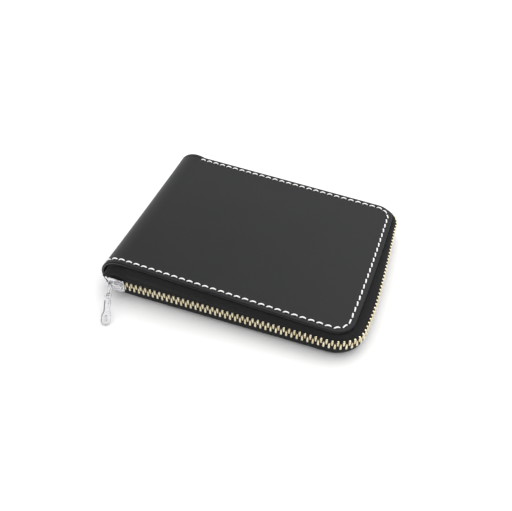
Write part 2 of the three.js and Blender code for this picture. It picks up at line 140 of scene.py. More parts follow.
def plainMesh(obj, name):
    # the evaluated shape as a plain mesh; the first object goes away
    shape = bpy.data.meshes.new_from_object(obj.evaluated_get(bpy.context.evaluated_depsgraph_get()))
    shape.name = name
    made = bpy.data.objects.new(name, shape)
    bpy.context.scene.collection.objects.link(made)
    bpy.data.objects.remove(obj)
    return made


def spread(low, high, count):
    return [low + (high - low) * i / (count - 1) for i in range(count)]


def ringSolid(name, rings, material, closed=False):
    # a shape through rings of equal length, closed on itself or with a face at each end
    count, levels = len(rings[0]), len(rings)
    faces = []
    if not closed:
        faces = [tuple(range(count)), tuple(range((levels - 1) * count, levels * count))[::-1]]
    for level in range(levels if closed else levels - 1):
        a, b = level * count, (level + 1) % levels * count
        for i in range(count):
            j = (i + 1) % count
            faces.append((a + j, a + i, b + i, b + j))
    return faceOutwards(makeObject(name, [point for ring in rings for point in ring], faces, [material]))


def roundBar(name, path, sizes, material, side, closed=False, around=12, squareness=3.2):
    # a bar along a path; sizes gives its half width along side and its other half width at each point
    rings = []
    count = len(path)
    for index, centre in enumerate(path):
        before = path[(index - 1) % count if closed else max(index - 1, 0)]
        after = path[(index + 1) % count if closed else min(index + 1, count - 1)]
        along = (Vector(after) - Vector(before)).normalized()
        wide = Vector(side[index] if isinstance(side, list) else side).normalized()
        thick = along.cross(wide).normalized()
        halfWide, halfThick = sizes[index] if isinstance(sizes, list) else sizes
        ring = []
        for i in range(around):
            turn = 2 * math.pi * (i + 0.5) / around
            c, s = math.cos(turn), math.sin(turn)
            power = 2 / squareness
            across = math.copysign(abs(c) ** power, c) * halfWide
            up = math.copysign(abs(s) ** power, s) * halfThick
            ring.append(Vector(centre) + wide * across + thick * up)
        rings.append(ring)
    return ringSolid(name, rings, material, closed)


def outlinePlate(name, outlines, thick, bevel, place, material):
    # a flat plate with rounded edges; the first outline is its shape and the others are holes
    curve = bpy.data.curves.new(name, "CURVE")
    curve.dimensions = "2D"
    curve.fill_mode = "BOTH"
    curve.extrude = (thick / 2 - bevel) * mm
    curve.bevel_depth = bevel * mm
    curve.bevel_resolution = 3
    curve.offset = -bevel * mm
    for outline in outlines:
        spline = curve.splines.new("POLY")
        spline.points.add(len(outline) - 1)
        for point, (x, y) in zip(spline.points, outline):
            point.co = (x * mm, y * mm, 0, 1)
        spline.use_cyclic_u = True
    drawn = bpy.data.objects.new(name + "Outline", curve)
    bpy.context.scene.collection.objects.link(drawn)
    bpy.context.view_layer.update()
    plate = plainMesh(drawn, name)
    shift = Matrix(place)
    shift.translation = shift.translation * mm
    plate.data.transform(shift)
    plate.data.materials.clear()
    plate.data.materials.append(material)
    editMesh(plate, lambda solid: bmesh.ops.remove_doubles(solid, verts=solid.verts, dist=0.001 * mm))
    return smoothByAngle(faceOutwards(plate))


def smoothByAngle(obj, degrees=38):
    # round parts are smooth and real corners stay crisp
    def change(solid):
        for face in solid.faces:
            face.smooth = True
        for edge in solid.edges:
            edge.smooth = len(edge.link_faces) == 2 and edge.calc_face_angle(0) < math.radians(degrees)

    return editMesh(obj, change)


def roundedBlock(name, low, high, bevel, material):
    points = [(x, y, z) for x in (low[0], high[0]) for y in (low[1], high[1]) for z in (low[2], high[2])]
    faces = [(0, 1, 3, 2), (4, 6, 7, 5), (0, 4, 5, 1), (2, 3, 7, 6), (0, 2, 6, 4), (1, 5, 7, 3)]
    block = faceOutwards(makeObject(name, points, faces, [material]))
    editMesh(block, lambda solid: bmesh.ops.bevel(solid, geom=solid.edges[:], offset=bevel * mm, segments=3,
                                                  profile=0.6, affect="EDGES"))
    return smoothByAngle(block)


def roundCorners(points, radius, steps=5):
    # the outline with each corner drawn as an arc
    made = []
    for index, corner in enumerate(points):
        before, after = Vector(points[index - 1]), Vector(points[(index + 1) % len(points)])
        corner = Vector(corner)
        reach = min(radius, (before - corner).length * 0.45, (after - corner).length * 0.45)
        start = corner + (before - corner).normalized() * reach
        end = corner + (after - corner).normalized() * reach
        for share in spread(0, 1, steps):
            made.append(tuple((1 - share) ** 2 * start + 2 * share * (1 - share) * corner + share ** 2 * end))
    return made


def ellipse(wide, tall, count):
    return [(wide * math.cos(2 * math.pi * i / count), tall * math.sin(2 * math.pi * i / count))
            for i in range(count)]


def turned(x, y, degrees):
    turn = math.radians(degrees)
    return x * math.cos(turn) - y * math.sin(turn), x * math.sin(turn) + y * math.cos(turn)


# materials

def hexColour(code):
    channels = [int(code[i:i + 2], 16) / 255 for i in (1, 3, 5)]
    linear = [c / 12.92 if c <= 0.04045 else ((c + 0.055) / 1.055) ** 2.4 for c in channels]
    return (*linear, 1.0)


def addNode(tree, kind, settings=None, **inputs):
    node = tree.nodes.new(kind)
    for key, value in (settings or {}).items():
        setattr(node, key, value)
    for key, value in inputs.items():
        socket = node.inputs[int(key[1:])] if key[0] == "i" and key[1:].isdigit() else node.inputs[key]
        if isinstance(value, bpy.types.NodeSocket):
            tree.links.new(value, socket)
        else:
            socket.default_value = value
    return node


def newMaterial(name, **surface):
    # also gives the place on the piece that its patterns read
    material = bpy.data.materials.new(name)
    material.use_nodes = True
    tree = material.node_tree
    for key, value in surface.items():
        tree.nodes["Principled BSDF"].inputs[key.replace("_", " ")].default_value = value
    return material, tree, addNode(tree, "ShaderNodeTexCoord").outputs["Object"]


def colourBy(tree, factor, low, deep, high, pale):
    # base colour from deep, where the pattern is at low, to pale, where it is at high
    ramp = addNode(tree, "ShaderNodeValToRGB", i0=factor)
    for element, place, code in zip(ramp.color_ramp.elements, (low, high), (deep, pale)):
        element.position = place
        element.color = hexColour(code)
    tree.links.new(ramp.outputs[0], tree.nodes["Principled BSDF"].inputs["Base Color"])


def roughenBy(tree, factor, low, high):
    spanned = addNode(tree, "ShaderNodeMapRange", i0=factor, i3=low, i4=high)
    tree.links.new(spanned.outputs[0], tree.nodes["Principled BSDF"].inputs["Roughness"])


def bumpBy(tree, height, strength, depthMm):
    bump = addNode(tree, "ShaderNodeBump", Height=height, Strength=strength, Distance=depthMm * mm)
    tree.links.new(bump.outputs[0], tree.nodes["Principled BSDF"].inputs["Normal"])


def mathNode(tree, operation, *values):
    return addNode(tree, "ShaderNodeMath", {"operation": operation},
                   **{"i" + str(i): value for i, value in enumerate(values)}).outputs[0]


def fullGrainLeather(name, dark, light, grainMm, rough, bumpStrength):
    # chrome-tanned cowhide, pressed smooth and pigmented black: fine pebbles, faint cloudiness,
    # and a low wax sheen that turns pale room light into an even grey
    material, tree, place = newMaterial(name, Roughness=rough, IOR=1.35, Coat_Weight=0.02,
                                        Coat_Roughness=0.3)
    clouds = addNode(tree, "ShaderNodeTexNoise", Vector=place, Scale=55.0, Detail=3.0).outputs[0]
    pebbles = addNode(tree, "ShaderNodeTexVoronoi", {"feature": "SMOOTH_F1"}, Vector=place,
                      Scale=1000 / grainMm, Smoothness=0.6).outputs[0]
    creases = addNode(tree, "ShaderNodeTexNoise", Vector=place, Scale=420.0, Detail=5.0,
                      Roughness=0.6).outputs[0]
    colourBy(tree, clouds, 0.3, dark, 0.7, light)
    roughenBy(tree, clouds, rough - 0.05, rough + 0.05)
    bumpBy(tree, mathNode(tree, "MULTIPLY_ADD", pebbles, 0.6, creases), bumpStrength, 0.05)
    return material


def edgePaint():
    # burnished edge paint over the cut leather: smoother and a touch glossier than the grain side
    material, tree, place = newMaterial("burnishedEdgePaint", Roughness=0.42)
    brushed = addNode(tree, "ShaderNodeTexNoise", Vector=place, Scale=260.0, Detail=4.0).outputs[0]
    colourBy(tree, brushed, 0.3, "#1c1c1d", 0.7, "#2b2b2d")
    bumpBy(tree, brushed, 0.35, 0.08)
    return material


def wovenZipTape():
    # black polyester zip tape in a herringbone weave, with a dull, slightly fuzzy face;
    # its ribs and chevrons are drawn coarser than real ones so that they show
    ribMm, chevronMm = 0.75, 1.5
    material, tree, place = newMaterial("herringbonePolyesterTape", Roughness=0.9, IOR=1.35,
                                        Sheen_Weight=0.04, Sheen_Roughness=0.5)
    uv = addNode(tree, "ShaderNodeUVMap", {"uv_map": "clothMap"}).outputs[0]
    split = addNode(tree, "ShaderNodeSeparateXYZ", i0=uv)
    zigzag = mathNode(tree, "PINGPONG", split.outputs[1], chevronMm)
    slanted = mathNode(tree, "ADD", split.outputs[0], zigzag)
    wave = mathNode(tree, "SINE", mathNode(tree, "MULTIPLY", slanted, 2 * math.pi / ribMm))
    fuzz = addNode(tree, "ShaderNodeTexNoise", Vector=place, Scale=2500.0, Detail=2.0).outputs[0]
    lift = addNode(tree, "ShaderNodeMapRange", i0=wave, i1=-1.0, i2=1.0).outputs[0]
    mixed = mathNode(tree, "MULTIPLY_ADD", fuzz, 0.35, lift)
    colourBy(tree, mixed, 0.25, "#020202", 1.0, "#232325")
    bumpBy(tree, mixed, 0.8, 0.18)
    return material


def platedMetal(name, pale, deep, rough):
    # polished zinc or brass with a bright plating: mirror-like, dulled by fine handling scratches
    material, tree, place = newMaterial(name, Metallic=1.0, Roughness=rough)
    patches = addNode(tree, "ShaderNodeTexNoise", Vector=place, Scale=700.0, Detail=4.0).outputs[0]
    colourBy(tree, patches, 0.35, deep, 0.65, pale)
    roughenBy(tree, patches, rough - 0.03, rough + 0.05)
    stretched = addNode(tree, "ShaderNodeMapping", Vector=place, Scale=(900, 4000, 4000)).outputs[0]
    scratches = addNode(tree, "ShaderNodeTexNoise", Vector=stretched, Scale=1.0, Detail=2.0).outputs[0]
    bumpBy(tree, scratches, 0.05, 0.01)
    return material


def waxedThread(name, pale, deep):
    # twisted polyester thread, waxed: soft sheen, with the plies' twist as a fine slanted ripple
    material, tree, place = newMaterial(name, Roughness=0.55, Sheen_Weight=0.2)
    plies = addNode(tree, "ShaderNodeTexWave", {"bands_direction": "DIAGONAL"}, Vector=place, Scale=900.0,
                    Distortion=1.5).outputs[0]
    colourBy(tree, plies, 0.0, deep, 0.6, pale)
    bumpBy(tree, plies, 0.4, 0.05)
    return material


def twillLining():
    # thin black polyester twill: a fine diagonal rib and almost no shine;
    # its ribs are drawn 1.2 mm apart, coarser than real ones so that they show
    material, tree, place = newMaterial("polyesterTwillLining", Roughness=0.8, Sheen_Weight=0.15)
    ribs = addNode(tree, "ShaderNodeTexWave", {"bands_direction": "DIAGONAL"}, Vector=place, Scale=370.0,
                   Distortion=0.15, Detail=1.0).outputs[0]
    colourBy(tree, ribs, 0.2, "#111113", 0.9, "#242428")
    bumpBy(tree, ribs, 0.5, 0.08)
    return material


def moulded(name, deep, pale, rough, cloudMm):
    # moulded or painted surface: one tone with a faint unevenness of colour and polish
    material, tree, place = newMaterial(name, Roughness=rough)
    clouds = addNode(tree, "ShaderNodeTexNoise", Vector=place, Scale=1000 / cloudMm, Detail=3.0).outputs[0]
    colourBy(tree, clouds, 0.35, deep, 0.65, pale)
    roughenBy(tree, clouds, rough - 0.04, rough + 0.04)
    return material


coverLeather = fullGrainLeather("smoothFullGrainLeather", "#0e0f11", "#141517", 0.55, 0.5, 0.30)
pocketLeather = fullGrainLeather("thinCalfPocketLeather", "#19191a", "#232325", 0.7, 0.54, 0.45)
leatherBack = fullGrainLeather("suededFleshSide", "#151516", "#1f1f20", 0.9, 0.85, 0.8)
paintedEdge = edgePaint()
zipTape = wovenZipTape()
goldTeeth = platedMetal("paleGoldPlatedBrass", "#f2ead2", "#d9caa2", 0.24)
brightNickel = platedMetal("brightNickelPlate", "#e6e6e8", "#dadadd", 0.13)
whiteThread = waxedThread("waxedWhiteThread", "#ffffff", "#efeeea")
blackThread = waxedThread("waxedBlackThread", "#232325", "#101011")
lining = twillLining()
# the awl holes' near-black colour is painted shade: dark lenses laid where the slits between stitches only
# fall into shadow
awlHoleShade = moulded("awlHolePaintedShade", "#030303", "#080808", 0.9, 0.6)
coilNylon = moulded("extrudedNylonCoil", "#141416", "#1f1f22", 0.4, 1.5)
print("materials made")


# the fold, the slope of the upper half, and the covers' outline

def easeOff(share):
    share = min(max(share, 0.0), 1.0)
    return 1 - share * share * (3 - 2 * share)


def slopeUpper(point, weight=1.0):
    # turns a point of the level upper half down about the upper axis
    turn = Matrix.Rotation(taperAngle * weight, 4, "Y")
    return upperAxis + turn @ (Vector(point) - upperAxis)


def arcAngle(x, depth):
    # the fold's angle where the sheet at this depth reaches x
    reach = wallet["foldReach"] - depth
    return math.asin(min(max((foldX - x) / reach, 0.0), 0.985))


def leanOut(x, y):
    # the zip side bows out a little, most of all towards its front end
    share = min(max((x - foldX) / (zipSideX - foldX), 0.0), 1.0)
    back = min(max(0.5 + y / (2 * halfDepth), 0.0), 1.0)
    return wallet["frontLean"] * share * (1 - back) ** 1.3 * (1 + 4 * back)


def halfPoint(isUpper, x, y, depth, angle=0.0):
    # a point of the sheet that lies depth inside the leather's outer face;
    # angle 0 is the flat cover, 90 degrees is the middle of the spine
    if angle > 0:
        reach = wallet["foldReach"] - depth
        x = foldX - reach * math.sin(angle)
        z = foldRise - (foldRise - depth) * math.cos(angle)
        lean = min(max((y + halfDepth) / (2 * halfDepth), 0.0), 1.0)
        within = min(max((depth - liningLow.z) / (liningHigh.z - liningLow.z), 0.0), 1.0)
        skew = wallet["backSkew"] * (1 + (wallet["liningLean"] - 1) * within)
        x -= skew * lean ** 1.2 * math.sin(angle) ** 2
        z -= wallet["backRise"] * lean ** 2 * math.sin(2 * angle) * (1 if isUpper else 0)
    else:
        z = depth
        x += leanOut(x, y)
    point = Vector((x, y, spineHeight - z if isUpper else z))
    if isUpper:
        point = slopeUpper(point, easeOff(angle / (math.pi / 2)))
    return point


def sheetLimitX(y, inset):
    # how far the rounded outline reaches towards +X at this y
    radius = wallet["cornerRadius"] - inset
    over = abs(y) - (halfDepth - wallet["cornerRadius"])
    if over <= 0:
        return zipSideX - inset
    return zipSideX - wallet["cornerRadius"] + math.sqrt(max(radius ** 2 - over ** 2, 0))


def edgeDistance(x, y, inset):
    # distance inside the rounded outline; the spine side has no edge
    radius = wallet["cornerRadius"] - inset
    overX = x - (zipSideX - wallet["cornerRadius"])
    overY = abs(y) - (halfDepth - wallet["cornerRadius"])
    outside = math.hypot(max(overX, 0), max(overY, 0))
    return radius - outside - min(max(overX, overY), 0)


# outer leather and linings

leatherCut = {
    "edgeRound": 0.55,      # rounding of the cut edge
    "grooveInset": 2.5,     # stitch line from the edge
    "grooveDepth": 0.25,
    "grooveWidth": 0.8,
}
liningCut = {
    "inset": 0.5,           # the lining stops short of the leather edge
    "edgeRound": 0.25,
}
edgeSteps = [0, 0.04, 0.12, 0.25, 0.4, 0.58, 0.9, 1.3, 1.6, 1.85, 2.1, 2.3, 2.5, 2.7, 2.9, 3.15, 3.4,
             3.8, 4.6, 6.0, 8.0]


def roundedDrop(distance, radius):
    if distance >= radius:
        return 0.0
    return radius - math.sqrt(max(radius ** 2 - (radius - distance) ** 2, 0))


def surfaceDrop(distance, edgeRound, crown, grooved):
    fullness = 1 - easeOff((distance - wallet["crownStart"]) / wallet["crownReach"])
    drop = roundedDrop(distance, edgeRound) - crown * fullness
    if grooved:
        across = (distance - leatherCut["grooveInset"]) / (leatherCut["grooveWidth"] / 2)
        drop += leatherCut["grooveDepth"] * math.exp(-across ** 2)
    return drop


def sheetRows(inset):
    radius = wallet["cornerRadius"]
    near = sorted(set(edgeSteps) | {radius * (1 - math.cos(math.radians(step))) for step in range(0, 91, 6)})
    edge = halfDepth - inset
    rows = [-edge + step for step in near] + spread(-edge + near[-1] + 2, edge - near[-1] - 2, 32)
    return rows + [edge - step for step in reversed(near)]


def closedSheet(name, outer, inner, columns, materials, sharpEnds=None):
    # two grids of points, row by row, joined round their rim; materials are for face, rim and back
    rows, offset = len(outer) // columns, len(outer)
    faces, slots = [], []
    for row in range(rows - 1):
        for column in range(columns - 1):
            a = row * columns + column
            quad = (a, a + 1, a + columns + 1, a + columns)
            faces += [quad, tuple(offset + i for i in reversed(quad))]
            slots += [0, len(materials) - 1 if len(materials) > 2 else 0]
    rim = list(range(columns - 1, -1, -1))
    rim += [row * columns for row in range(1, rows)]
    rim += [(rows - 1) * columns + column for column in range(1, columns)]
    rim += [row * columns + columns - 1 for row in range(rows - 2, 0, -1)]
    for a, b in zip(rim, rim[1:] + rim[:1]):
        faces.append((a, b, offset + b, offset + a))
        slots.append(min(1, len(materials) - 1))
    return faceOutwards(makeObject(name, outer + inner, faces, materials, slots), sharpEnds)


def makeHalfSheet(name, isUpper, depth, thick, inset, edgeRound, materials, crown=0.0, grooved=False):
    # a closed sheet over one cover and its quarter of the fold, with rounded cut edges
    rows = sheetRows(inset)
    foldAngles = [math.radians(3.5 * i) for i in range(1, 26)] + [math.radians(89.4), math.pi / 2]
    outer, inner = [], []
    for y in rows:
        limit = sheetLimitX(y, inset)
        flat = [limit - step for step in edgeSteps]
        flat += spread(flat[-1], foldX, 46)[1:]
        places = [(x, 0.0, edgeDistance(x, y, inset)) for x in flat]
        places += [(foldX, angle, halfDepth - inset - abs(y)) for angle in foldAngles]
        for x, angle, distance in places:
            drop = surfaceDrop(distance, edgeRound, crown * (1 - angle / (math.pi / 2)), grooved)
            outer.append(halfPoint(isUpper, x, y, depth + drop, angle))
            under = depth + thick - roundedDrop(distance, edgeRound / 2)
            inner.append(halfPoint(isUpper, x, y, under, angle))
    columns = len(outer) // len(rows)

    def spineEnd(first, second):
        return first % columns == columns - 1 and second % columns == columns - 1

    return closedSheet(name, outer, inner, columns, materials, spineEnd)


def blendFold(obj, isUpper):
    # bakes the piece's transform into its mesh; it is not bent across the fold
    flatEnd = halfPoint(isUpper, foldX, 0, 0) * mm
    if isUpper:
        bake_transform(obj)
    else:
        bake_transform(obj)


def rideHalf(obj, isUpper):
    # stiff pieces, like the chain, are attached whole to their half and keep their shape
    if isUpper:
        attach(obj, "upper_half")
    else:
        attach(obj, "lower_half")


for isUpper in (True, False):
    side = "upper" if isUpper else "lower"
    coverPiece = makeHalfSheet(side + "Leather", isUpper, 0.0, wallet["leatherThick"], 0.0,
                               leatherCut["edgeRound"], [coverLeather, paintedEdge, leatherBack],
                               wallet["crown"] if isUpper else 0.0, True)
    blendFold(coverPiece, isUpper)
    liningPiece = makeHalfSheet(side + "Lining", isUpper, liningLow.z, liningHigh.z - liningLow.z,
                                liningCut["inset"], liningCut["edgeRound"], [lining, lining])
    blendFold(liningPiece, isUpper)
    if isUpper:
        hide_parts("upper_cover")
        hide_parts("upper_lining", "spine_lining")
    else:
        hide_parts("lower_cover", "spine_leather")
        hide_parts("lower_lining")
print("outer leather and linings made")


# Geometry Nodes: shapes repeated along a line

def repeatTree():
    tree = bpy.data.node_groups.new("repeatAlongLine", "GeometryNodeTree")
    face = tree.interface
    for label, kind in (("Line", "Geometry"), ("Shape", "Object"), ("Count", "Int"), ("Size", "Float"),
                        ("Unevenness", "Float"), ("Seed", "Int"), ("Finish", "Material")):
        face.new_socket(label, in_out="INPUT", socket_type="NodeSocket" + kind)
    face.new_socket("Result", in_out="OUTPUT", socket_type="NodeSocketGeometry")
    given = addNode(tree, "NodeGroupInput").outputs
    curve = addNode(tree, "GeometryNodeMeshToCurve", Mesh=given["Line"])
    steps = addNode(tree, "GeometryNodeResampleCurve", Curve=curve.outputs[0], Count=given["Count"])
    outward = addNode(tree, "GeometryNodeInputNamedAttribute", {"data_type": "FLOAT_VECTOR"}, Name="outward")
    tangent = addNode(tree, "GeometryNodeInputTangent")
    facing = addNode(tree, "FunctionNodeAxesToRotation", {"primary_axis": "X", "secondary_axis": "Z"},
                     i0=tangent.outputs[0], i1=outward.outputs[0])
    wobble = addNode(tree, "FunctionNodeRandomValue", {"data_type": "FLOAT_VECTOR"}, Seed=given["Seed"])
    low = addNode(tree, "ShaderNodeMath", {"operation": "MULTIPLY"}, i0=given["Unevenness"], i1=-1.0)
    tree.links.new(low.outputs[0], wobble.inputs[0])
    tree.links.new(given["Unevenness"], wobble.inputs[1])
    turn = addNode(tree, "FunctionNodeEulerToRotation", i0=wobble.outputs[0])
    both = addNode(tree, "FunctionNodeRotateRotation", {"rotation_space": "LOCAL"}, i0=facing.outputs[0],
                   i1=turn.outputs[0])
    shape = addNode(tree, "GeometryNodeObjectInfo", Object=given["Shape"])
    copies = addNode(tree, "GeometryNodeInstanceOnPoints", Points=steps.outputs[0],
                     Instance=shape.outputs["Geometry"], Rotation=both.outputs[0], Scale=given["Size"])
    real = addNode(tree, "GeometryNodeRealizeInstances", Geometry=copies.outputs[0])
    painted = addNode(tree, "GeometryNodeSetMaterial", Geometry=real.outputs[0], Material=given["Finish"])
    addNode(tree, "NodeGroupOutput", Result=painted.outputs[0])
    return tree


lineTree = repeatTree()


def repeatAlong(name, line, outward, shape, finish, count, unevenness=0.0, seed=1):
    mesh = bpy.data.meshes.new(name + "Line")
    edges = [(i, i + 1) for i in range(len(line) - 1)]
    mesh.from_pydata([tuple(Vector(point) * mm) for point in line], edges, [])
    stored = mesh.attributes.new("outward", "FLOAT_VECTOR", "POINT")
    stored.data.foreach_set("vector", [value for normal in outward for value in Vector(normal).normalized()])
    path = bpy.data.objects.new(name + "Line", mesh)
    bpy.context.scene.collection.objects.link(path)
    modifier = path.modifiers.new("repeat", "NODES")
    modifier.node_group = lineTree
    sockets = {item.name: item.identifier for item in lineTree.interface.items_tree if item.in_out == "INPUT"}
    values = {"Shape": shape, "Count": count, "Size": 1.0, "Unevenness": unevenness, "Seed": seed,
              "Finish": finish}
    for key, value in values.items():
        modifier[sockets[key]] = value
    bpy.context.view_layer.update()
    made = plainMesh(path, name)
    made.data.polygons.foreach_set("use_smooth", [True] * len(made.data.polygons))
    return made


def lineLength(line):
    return sum((Vector(b) - Vector(a)).length for a, b in zip(line, line[1:]))


# white saddle stitches

stitching = {
    "pitch": 3.8,
    "inset": 2.5,
    "threadRadius": 0.36,
    "length": 3.95,
    "slant": 10.0,           # degrees off the row
    "arch": 1.25,            # how far the middle of a stitch stands above its ends
    "pressedArch": 0.4,      # the same under the wallet, where they are pressed flat
    "frontFoldEnd": 56.0,    # the front row runs on round the fold, the back row stops sooner
    "backFoldEnd": 9.0,
    "holeSlant": 38.0,       # awl slits lie across the row
    "holeSize": (0.85, 0.3),
    "unevenness": 0.035,
    "seed": 3,
}


def stitchPattern(name, radius, length, slant, arch, finish):
    # an arched run of thread that dives into a hole at each end
    rings = []
    for share in spread(-1, 1, 9):
        lift = arch * (0.46 - share ** 2)
        fat = radius * (1 - 0.4 * abs(share) ** 4)
        rings.append([(*turned(share * length / 2, y, slant), lift + z)
                      for y, z in ellipse(fat, 0.85 * fat, 8)])
    return ringSolid(name, rings, finish)


def holePattern(name, slant):
    # a slanted awl slit: a shallow near-black lens in the leather between two stitches, painted shade
    # standing in for the shadow inside the slit
    outline = [turned(x, y, slant) for x, y in ellipse(*stitching["holeSize"], 12)]
    return ringSolid(name, [[(x, y, z) for x, y in outline] for z in (-0.25, 0.13)], awlHoleShade)


def stitchLine(isUpper, inset, foldEnds):
    # along the front from the fold, round the zip side and back; gives points and outward normals
    line, normals = [], []
    radius = wallet["cornerRadius"] - inset
    cornerX = zipSideX - wallet["cornerRadius"]
    cornerY = halfDepth - wallet["cornerRadius"]
    places = [(foldX, inset - halfDepth, math.radians(foldEnds[0]) * i / 20) for i in range(20, 0, -1)]
    places += [(x, inset - halfDepth, 0.0) for x in spread(foldX, cornerX, 60)]
    for degrees in range(-84, 1, 6):
        turn = math.radians(degrees)
        places.append((cornerX + radius * math.cos(turn), -cornerY + radius * math.sin(turn), 0.0))
    places += [(zipSideX - inset, y, 0.0) for y in spread(-cornerY, cornerY, 50)[1:-1]]
    for degrees in range(0, 91, 6):
        turn = math.radians(degrees)
        places.append((cornerX + radius * math.cos(turn), cornerY + radius * math.sin(turn), 0.0))
    places += [(x, halfDepth - inset, 0.0) for x in spread(cornerX, foldX, 60)[1:]]
    places += [(foldX, halfDepth - inset, math.radians(foldEnds[1]) * i / 20) for i in range(1, 21)]
    for x, y, angle in places:
        depth = leatherCut["grooveDepth"] + (0 if isUpper else 0.2)
        point = halfPoint(isUpper, x, y, depth, angle)
        line.append(point)
        normals.append(point - halfPoint(isUpper, x, y, depth + 1, angle))
    return line, normals


def cutLine(line, normals, start, length):
    # the stretch of a line between two distances
    points, outward = [], []
    travelled = 0.0
    for index in range(len(line) - 1):
        a, b = Vector(line[index]), Vector(line[index + 1])
        step = (b - a).length
        for place in (start, start + length):
            if travelled <= place < travelled + step:
                points.append(a.lerp(b, (place - travelled) / step))
                outward.append(normals[index])
        if start < travelled + step < start + length:
            points.append(b)
            outward.append(normals[index + 1])
        travelled += step
    order = sorted(range(len(points)), key=lambda i: distanceAlong(line, points[i]))
    return [points[i] for i in order], [outward[i] for i in order]


def distanceAlong(line, point):
    # how far along the line the nearest stretch to the point is
    best, travelled, found = 1e9, 0.0, 0.0
    for a, b in zip(line, line[1:]):
        a, b = Vector(a), Vector(b)
        step = b - a
        share = min(max((Vector(point) - a).dot(step) / max(step.length_squared, 1e-12), 0), 1)
        gap = (a + step * share - Vector(point)).length
        if gap < best:
            best, found = gap, travelled + share * step.length
        travelled += step.length
    return found


def makeStitches(isUpper):
    side = "upper" if isUpper else "lower"
    ends = (stitching["frontFoldEnd"], stitching["backFoldEnd"])
    line, normals = stitchLine(isUpper, stitching["inset"], ends)
    way = 1 if isUpper else -1
    thread = stitchPattern(side + "Thread", stitching["threadRadius"], stitching["length"],
                           way * stitching["slant"],
                           stitching["arch" if isUpper else "pressedArch"], whiteThread)
    length = lineLength(line)
    count = round(length / stitching["pitch"])
    pitch = length / count
    points, outward = cutLine(line, normals, pitch / 2, length - pitch)
    stitches = repeatAlong(side + "Stitches", points, outward, thread, whiteThread, count,
                           stitching["unevenness"], stitching["seed"])
    hole = holePattern(side + "Hole", -way * stitching["holeSlant"])
    # these near-black lenses at the stitch ends are painted shade of the awl slits
    holes = repeatAlong(side + "StitchHoles", line, normals, hole, awlHoleShade, count + 1)
    for pattern in (thread, hole):
        bpy.data.objects.remove(pattern)
    for piece in (stitches, holes):
        blendFold(piece, isUpper)


for isUpper in (True, False):
    makeStitches(isUpper)
print("stitches made")


# the zip's run round the wallet

mainZip = {
    "chainOffset": 1.9,      # middle of the chain, out from the leather edge
    "sideBulge": 2.5,        # the stiff chain stands out further along the zip side
    "bulgePlace": 0.26,      # share of the side, from the front, where it stands out most
    "pitch": 2.4,
    "halfWidth": 2.4,
    "tapeThick": 0.5,
    "tapeTuck": 4.0,         # how far the tape runs in between leather and lining
    "tapeBend": 2.4,
    "cordRadius": 0.72,
    "foldSink": 3.4,         # beside the spine the tape turns in, behind the leather's open end
    "unevenness": 0.02,
    "seed": 5,
}
cornerX = zipSideX - wallet["cornerRadius"]
cornerY = halfDepth - wallet["cornerRadius"]
tapeDepth = wallet["leatherThick"] + 0.35
teethStartX = nodeBox("lower_teeth")[0].x
closedEndX = nodeBox("upper_teeth")[0].x


def chainOut(y, degrees):
    # how far out from the leather edge the chain runs at this place
    share = (y + halfDepth) / (2 * halfDepth)
    peak = mainZip["bulgePlace"]
    if share < peak:
        hump = 1 - ((peak - share) / 0.4) ** 2
    else:
        hump = 1 - min((share - peak) / 0.6, 1) ** 1.2
    fade = 1 - easeOff((90 - abs(degrees)) / 80)
    return mainZip["chainOffset"] + mainZip["sideBulge"] * max(hump, 0) * fade


def edgeRun(frontX, backX, step=1.2):
    # places on the leather edge, front end to back end: the place, the way out, and the chain's offset
    places = [(x, -halfDepth, -90.0) for x in spread(frontX, cornerX, round((cornerX - frontX) / step))]
    radius = wallet["cornerRadius"]
    for degrees in range(-84, -1, 6):
        turn = math.radians(degrees)
        places.append((cornerX + radius * math.cos(turn), -cornerY + radius * math.sin(turn), degrees))
    places += [(zipSideX, y, 0.0) for y in spread(-cornerY, cornerY, round(2 * cornerY / step))]
    for degrees in range(6, 90, 6):
        turn = math.radians(degrees)
        places.append((cornerX + radius * math.cos(turn), cornerY + radius * math.sin(turn), degrees))
    places += [(x, halfDepth, 90.0) for x in spread(cornerX, backX, round((cornerX - backX) / step))]
    run = []
    for x, y, degrees in places:
        turn = math.radians(degrees)
        run.append((x + leanOut(x, y), y, math.cos(turn), math.sin(turn), chainOut(y, degrees)))
    return run


def outFrom(place, out, z):
    return Vector((place[0] + out * place[2], place[1] + out * place[3], z))


def sheetHeight(isUpper, place, out):
    # height of the tape's layer under the leather, level with this place
    x = place[0] + out * place[2]
    if place[0] >= foldX:
        sheet = halfPoint(isUpper, x, place[1], tapeDepth)
        slope = math.tan(taperAngle) if isUpper else 0
        return sheet.z - slope * (x - sheet.x)
    return halfPoint(isUpper, foldX, place[1], tapeDepth, arcAngle(place[0], tapeDepth)).z


def tapeSection(isUpper, place):
    # middle line of the tape: flat between leather and lining, a soft bend, then upright to the cord
    out = place[4]
    edgeZ = sheetHeight(isUpper, place, out)
    cordZ = chainHeight + (mainZip["halfWidth"] - 0.5) * (1 if isUpper else -1)
    drop = cordZ - edgeZ
    bend = min(mainZip["tapeBend"] + 1.4 * (out - mainZip["chainOffset"]), abs(drop) * 0.9)
    bendZ = edgeZ + math.copysign(bend, drop)
    sunk = mainZip["foldSink"] * (1 - easeOff((foldX + 7 - place[0]) / 10))
    points = [(-mainZip["tapeTuck"] - sunk, edgeZ), (-mainZip["tapeTuck"] / 2 - sunk, edgeZ)]
    for share in spread(0, 1, 8):
        across = (1 - share) ** 2 * (0.1 - sunk) + 2 * share * (1 - share) * (out - sunk) + share ** 2 * out
        height = (1 - share ** 2) * edgeZ + share ** 2 * bendZ
        points.append((across, height))
    points += [(out, bendZ + (cordZ - bendZ) * share) for share in (0.33, 0.67, 1.0)]
    return points


